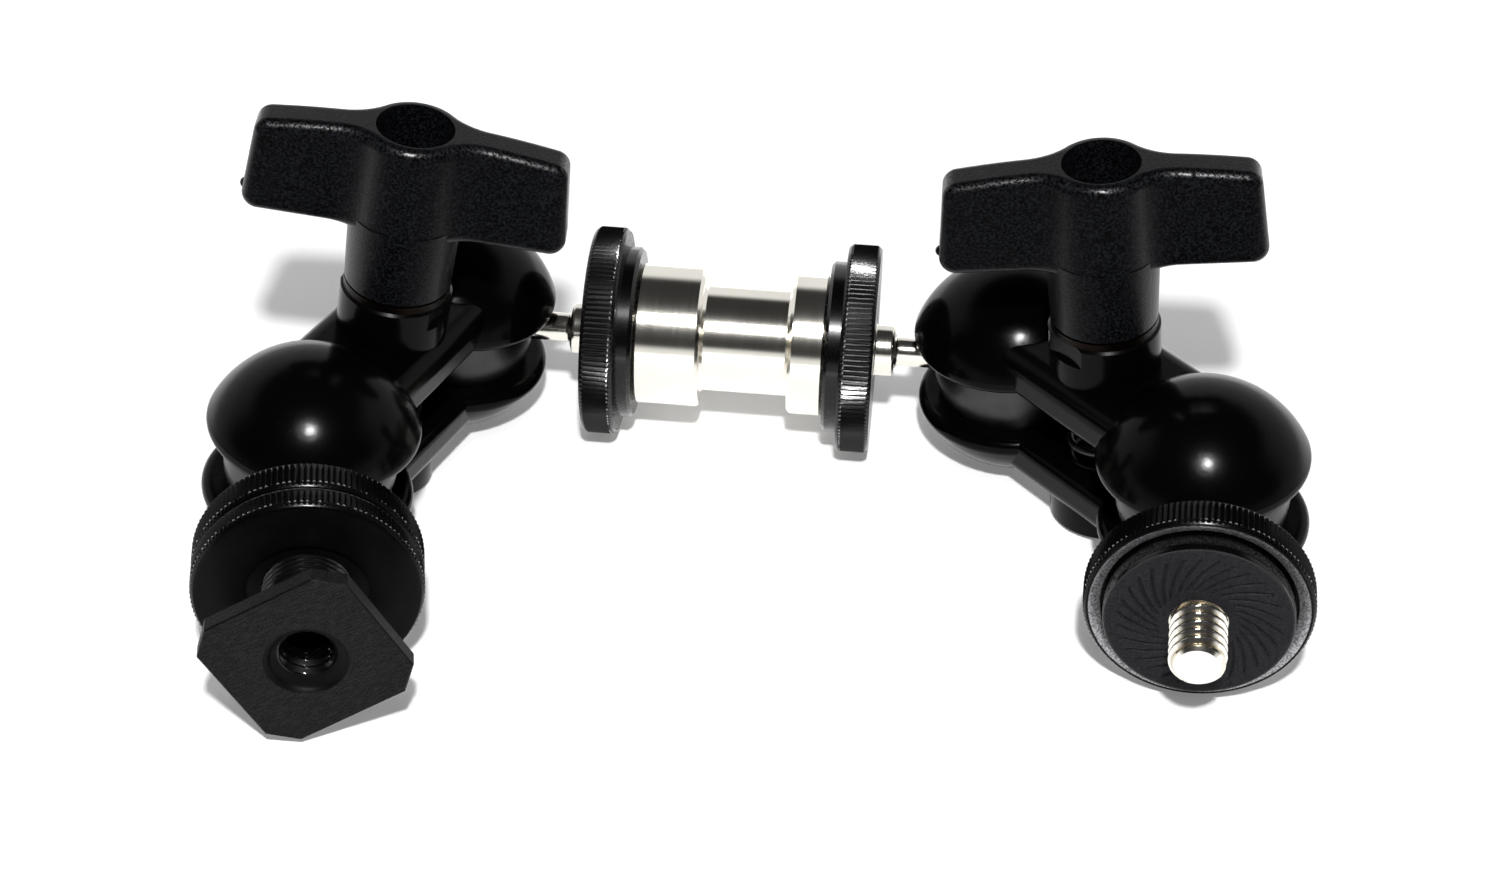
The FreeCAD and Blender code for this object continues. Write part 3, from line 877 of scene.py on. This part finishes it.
def plate_outline(side, cut, inset=0.0):
    """Points of the square with cut corners, in order round it, from +Y towards +Z."""
    half = side / 2 - inset
    c = side / 2 - cut * math.sqrt(0.5) - inset * (math.sqrt(2) - 1)
    corners = [(half, -c), (half, c), (c, half), (-c, half),
               (-half, c), (-half, -c), (-c, -half), (c, -half)]
    long_steps, short_steps = 13, 5
    points = []
    for k, (a, b) in enumerate(zip(corners, corners[1:] + corners[:1])):
        steps = short_steps if k % 2 else long_steps
        for t in range(steps):
            f = t / steps
            points.append((a[0] + (b[0] - a[0]) * f, a[1] + (b[1] - a[1]) * f))
    return np.array(points)


class ARM_OT_foot(bpy.types.Operator):
    """Make the shoe foot with its threaded post and hole"""
    bl_idname = "arm.foot"
    bl_label = "Shoe foot"

    def execute(self, context):
        s = sizes()
        edge, line = 0.17 * MM, 0.03 * MM
        outline = plate_outline(s.plate_side, s.plate_cut)
        inner = plate_outline(s.plate_side, s.plate_cut, edge)
        face = plate_outline(s.plate_side, s.plate_cut, edge + line)
        angles = np.arctan2(outline[:, 1], outline[:, 0])

        def flat(x, points):
            return np.column_stack([np.full(len(points), x), points])

        def on_bevel(x, y, z):
            tight = edge + line * 0.5
            half = s.plate_side / 2
            reach = (2 * half - s.plate_cut * math.sqrt(0.5)) * math.sqrt(0.5)
            out = np.maximum(abs(y), abs(z)) > half - tight
            out |= (abs(y) + abs(z)) * math.sqrt(0.5) > reach - tight
            return out & (x > s.plate_front - tight)

        rings, weights = [], []

        def add(ring, weight=0.0):
            rings.append(ring)
            weights.append(weight)

        def turned(points):
            for x, r, w in points:
                add(circle(x, r, angles), w)

        stud_hole = s.stud_radius + LOOSE_FIT
        relief_start, hole_start, relief_radius = 28.9 * MM, 29.9 * MM, 3.9 * MM
        turn_rings = 16
        sink = s.sink_radius - s.hole_radius
        lip, sink_lip = 0.1 * MM, 0.02 * MM
        undercut = s.post_radius - 0.3 * MM
        turned([(s.wheel_back, stud_hole, 0), (s.wheel_back, s.post_radius - 0.5 * MM, 0)])
        turned(thread_rings(s.wheel_back + 0.4 * MM, s.plate_back - 0.3 * MM, s.post_radius,
                            s.post_pitch / turn_rings, 1))
        turned([(s.plate_back - 0.15 * MM, undercut, 0), (s.plate_back, undercut, 0)])
        for share in (0.35, 0.7):
            ring = flat(s.plate_back, outline)
            core = circle(s.plate_back, s.post_radius, angles)
            add(core + (ring - core) * share)
        add(flat(s.plate_back, inner))
        add(flat(s.plate_back + edge * 0.5, outline))
        add(flat(s.plate_front - edge - line, outline))
        add(flat(s.plate_front - edge, outline))
        add(flat(s.plate_front, inner))
        add(flat(s.plate_front, face))
        core = circle(s.plate_front, s.sink_radius + lip, angles)
        for share in (0.66, 0.33):
            add(core + (flat(s.plate_front, face) - core) * share)
        turned([(s.plate_front, s.sink_radius + lip, 0),
                (s.plate_front - lip, s.sink_radius, -0.1)])
        for t in even_shares(14):
            add(circle(s.plate_front - lip - (sink - lip) * t,
                       s.sink_radius - (sink - sink_lip) * t, angles), -0.1 - t * 0.9)
        turned(thread_rings(s.plate_front - sink - lip, hole_start, s.hole_radius,
                            s.pitch / turn_rings, -1))
        turned([(hole_start, relief_radius, 0), (relief_start, relief_radius, 0),
                (relief_start, stud_hole, 0)])
        base = tube("foot_base", rings, weights, closed=True)
        # Marks the bevels round the plate's front, where the finish paints shade as dark edge
        # lines
        mark(base, "edge", on_bevel)
        metal = finish("brushed_black")
        values = {"Pitch": s.post_pitch, "Hole pitch": s.pitch, "Depth": s.post_thread_depth}
        mesh = grown("foot_base", base, helical_thread(), values, metal)
        piece("shoe_foot_threaded", mesh, stud_place("left", "outer"), metal,
              "shoe_foot", "left_end", sharp=30)
        return {"FINISHED"}


class ARM_OT_pad(bpy.types.Operator):
    """Make the grooved pad round the free stud"""
    bl_idname = "arm.pad"
    bl_label = "Grooved pad"

    def execute(self, context):
        s = sizes()
        hole = s.shank_radius + TIGHT_FIT
        floor = s.disc_front - s.recess_depth
        edge, lip_depth = 0.4 * MM, 0.03 * MM
        rings, groove_points = 46, 14
        profile = [(floor, hole, 0), (floor, s.pad_radius, 0),
                   (s.pad_front - edge, s.pad_radius, 0),
                   (s.pad_front - edge * 0.3, s.pad_radius - edge * 0.3, 0),
                   (s.pad_front, s.pad_radius - edge, 0)]
        outer = s.pad_radius - edge
        lip = s.stud_radius + 0.06 * MM
        for k in range(1, rings):
            profile.append((s.pad_front, outer + (lip - outer) * k / rings, 1))
        profile.append((s.pad_front, lip, 0))
        profile.append((s.pad_front - lip_depth, lip, 0))
        profile.append((s.pad_front - lip_depth, hole, 0))
        base = lathe("pad_base", profile, s.grooves * groove_points)
        mark(base, "side", lambda x, y, z: np.hypot(y, z) > s.pad_radius - edge * 0.5)
        values = {"Grooves": s.grooves, "Depth": s.groove_depth, "Start": s.groove_start,
                  "End": s.groove_end, "Twist": s.groove_twist}
        mesh = grown("pad_base", base, swirl_grooves(), values, finish("black_rubber"))
        piece("right_outer_pad_grooved", mesh, stud_place("right", "outer"),
              finish("black_rubber"), "right_outer_pad", "right_end", sharp=40)
        return {"FINISHED"}


# Stage, lights and camera. The camera's length is in pixels of the picture's width, angles
# are in degrees, and lamps and floor are in metres and watts.

CAMERA_PIXELS = 2967.0
IMAGE_WIDTH = 1500
SENSOR_WIDTH = 36
CAMERA_AT = Vector((19.29, -276.48, 212.79)) * MM
CAMERA_PITCH = 35.18
CAMERA_YAW = 4.15
CAMERA_ROLL = -1.75

# The key lamp makes the shadows, the flash the bright spots, and the softbox fills in.
LAMP_AIM = (0, 0, 0.015)
KEY_AT, KEY_SIZE, KEY_POWER = (0.029, -0.345, 0.415), 0.030, 3.8
FLASH_AT, FLASH_SIZE, FLASH_POWER = (0.035, -0.31, 0.54), 0.075, 6.0
SOFTBOX_AT, SOFTBOX_SIZE, SOFTBOX_POWER = (0.0, -0.33, 0.57), 0.21, 0.6
FLOOR_HALF = 3.0
FLOOR_GLOW = 0.19
GLOW_START, GLOW_FULL = 0.080, 0.20
ROOM_DARK, ROOM_LIGHT = 0.03, 0.80


def camera_turn():
    """Rotation of the camera: it looks along +Y when all three angles are zero."""
    turn = Matrix.Rotation(math.radians(CAMERA_YAW), 4, "Z")
    turn = turn @ Matrix.Rotation(math.radians(-CAMERA_PITCH), 4, "X")
    turn = turn @ Matrix.Rotation(math.radians(CAMERA_ROLL), 4, "Y")
    return turn @ Matrix.Rotation(math.radians(90), 4, "X")


def lamp(name, at, size, power):
    """Round lamp that shines from a point towards the middle of the arm."""
    data = bpy.data.lights.new(name, "AREA")
    data.shape = "DISK"
    data.size = size
    data.energy = power
    source = bpy.data.objects.new(name, data)
    turn = (Vector(LAMP_AIM) - Vector(at)).to_track_quat("-Z", "Y").to_matrix().to_4x4()
    source.matrix_world = Matrix.Translation(at) @ turn
    bpy.context.scene.collection.objects.link(source)
    return source


def grey(graph, level):
    """Colour whose three parts are one level."""
    return graph.node("ShaderNodeCombineColor", None, [level, level, level])


def floor_finish():
    """White paper that keeps the arm's shadow. A glow that only the camera and reflections
    see brings it to white, faintly near the arm and fully further out."""
    graph, shader = new_material("white_paper")
    join(graph, shader, Base_Color=(*colours().floor, 1), Roughness=0.9,
         Specular_IOR_Level=0.2)
    out = graph.tree.nodes["Material Output"]
    camera = graph.node("ShaderNodeLightPath", None, None, "Is Camera Ray")
    gloss = graph.node("ShaderNodeLightPath", None, None, "Is Glossy Ray")
    where = local_point(graph)
    reach = graph.node("ShaderNodeVectorMath", {"operation": "LENGTH"}, [where], "Value")
    further = reach.step(GLOW_START, GLOW_FULL)
    level = camera.math("MAXIMUM", gloss) * (FLOOR_GLOW + further * (1 - FLOOR_GLOW))
    glow = graph.node("ShaderNodeEmission", None, {"Color": grey(graph, level), "Strength": 1.0})
    both = graph.node("ShaderNodeAddShader", None, [Wire(graph, shader.outputs[0]), glow])
    graph.tree.links.new(both.socket, out.inputs["Surface"])


class ARM_OT_stage(bpy.types.Operator):
    """Make the floor, the lights and the camera"""
    bl_idname = "arm.stage"
    bl_label = "Stage"

    def execute(self, context):
        scene = context.scene
        mesh = bpy.data.meshes.new("paper")
        a = FLOOR_HALF
        mesh.from_pydata([(-a, -a, 0), (a, -a, 0), (a, a, 0), (-a, a, 0)], [], [(0, 1, 2, 3)])
        floor_finish()
        mesh.materials.append(finish("white_paper"))
        paper = bpy.data.objects.new("paper", mesh)
        scene.collection.objects.link(paper)

        world = bpy.data.worlds.new("room")
        scene.world = world
        world.use_nodes = True
        graph = Graph(world.node_tree)
        back = world.node_tree.nodes["Background"]
        ray = graph.node("ShaderNodeTexCoord", None, None, "Generated")
        split = graph.node("ShaderNodeSeparateXYZ", None, [ray]).socket.node
        depth, height = Wire(graph, split.outputs[1]), Wire(graph, split.outputs[2])
        front = 1 - height.step(0.10, 0.26)
        rear = 1 - height.step(0.56, 0.76)
        share = depth.step(-0.3, 0.3)
        level = ROOM_DARK + (front + (rear - front) * share) * ROOM_LIGHT
        world.node_tree.links.new(grey(graph, level).socket, back.inputs["Color"])
        back.inputs["Strength"].default_value = 1.0

        key = lamp("key", KEY_AT, KEY_SIZE, KEY_POWER)
        key.visible_glossy = False
        flash = lamp("flash", FLASH_AT, FLASH_SIZE, FLASH_POWER)
        flash.visible_diffuse = False
        lamp("softbox", SOFTBOX_AT, SOFTBOX_SIZE, SOFTBOX_POWER)

        data = bpy.data.cameras.new("camera")
        data.sensor_width = SENSOR_WIDTH
        data.lens = SENSOR_WIDTH * CAMERA_PIXELS / IMAGE_WIDTH
        data.clip_start, data.clip_end = 0.02, 20
        camera = bpy.data.objects.new("camera", data)
        camera.matrix_world = Matrix.Translation(CAMERA_AT) @ camera_turn()
        scene.collection.objects.link(camera)
        scene.camera = camera
        scene.view_settings.view_transform = "Standard"
        return {"FINISHED"}


STEPS = (ARM_OT_finishes, ARM_OT_cad_finishes, ARM_OT_discs, ARM_OT_wheel, ARM_OT_stems,
         ARM_OT_foot, ARM_OT_pad, ARM_OT_stage)


class ARM_PT_panel(bpy.types.Panel):
    """Sizes, colours and steps of the friction arm"""
    bl_idname = "ARM_PT_panel"
    bl_label = "Friction arm"
    bl_space_type = "VIEW_3D"
    bl_region_type = "UI"
    bl_category = "Friction arm"

    def draw(self, context):
        for group in (context.scene.arm_sizes, context.scene.arm_colours):
            box = self.layout.box()
            for name in group.bl_rna.properties.keys():
                if name not in ("rna_type", "name"):
                    box.prop(group, name)
        for step in STEPS:
            self.layout.operator(step.bl_idname)


CLASSES = (ArmSizes, ArmColours, *STEPS, ARM_PT_panel)


def register():
    for cls in CLASSES:
        bpy.utils.register_class(cls)
    bpy.types.Scene.arm_sizes = PointerProperty(type=ArmSizes)
    bpy.types.Scene.arm_colours = PointerProperty(type=ArmColours)


def unregister():
    del bpy.types.Scene.arm_colours
    del bpy.types.Scene.arm_sizes
    for cls in reversed(CLASSES):
        bpy.utils.unregister_class(cls)


def main():
    register()
    for step in STEPS:
        group, name = step.bl_idname.split(".")
        getattr(getattr(bpy.ops, group), name)()


if __name__ == "__main__":
    main()
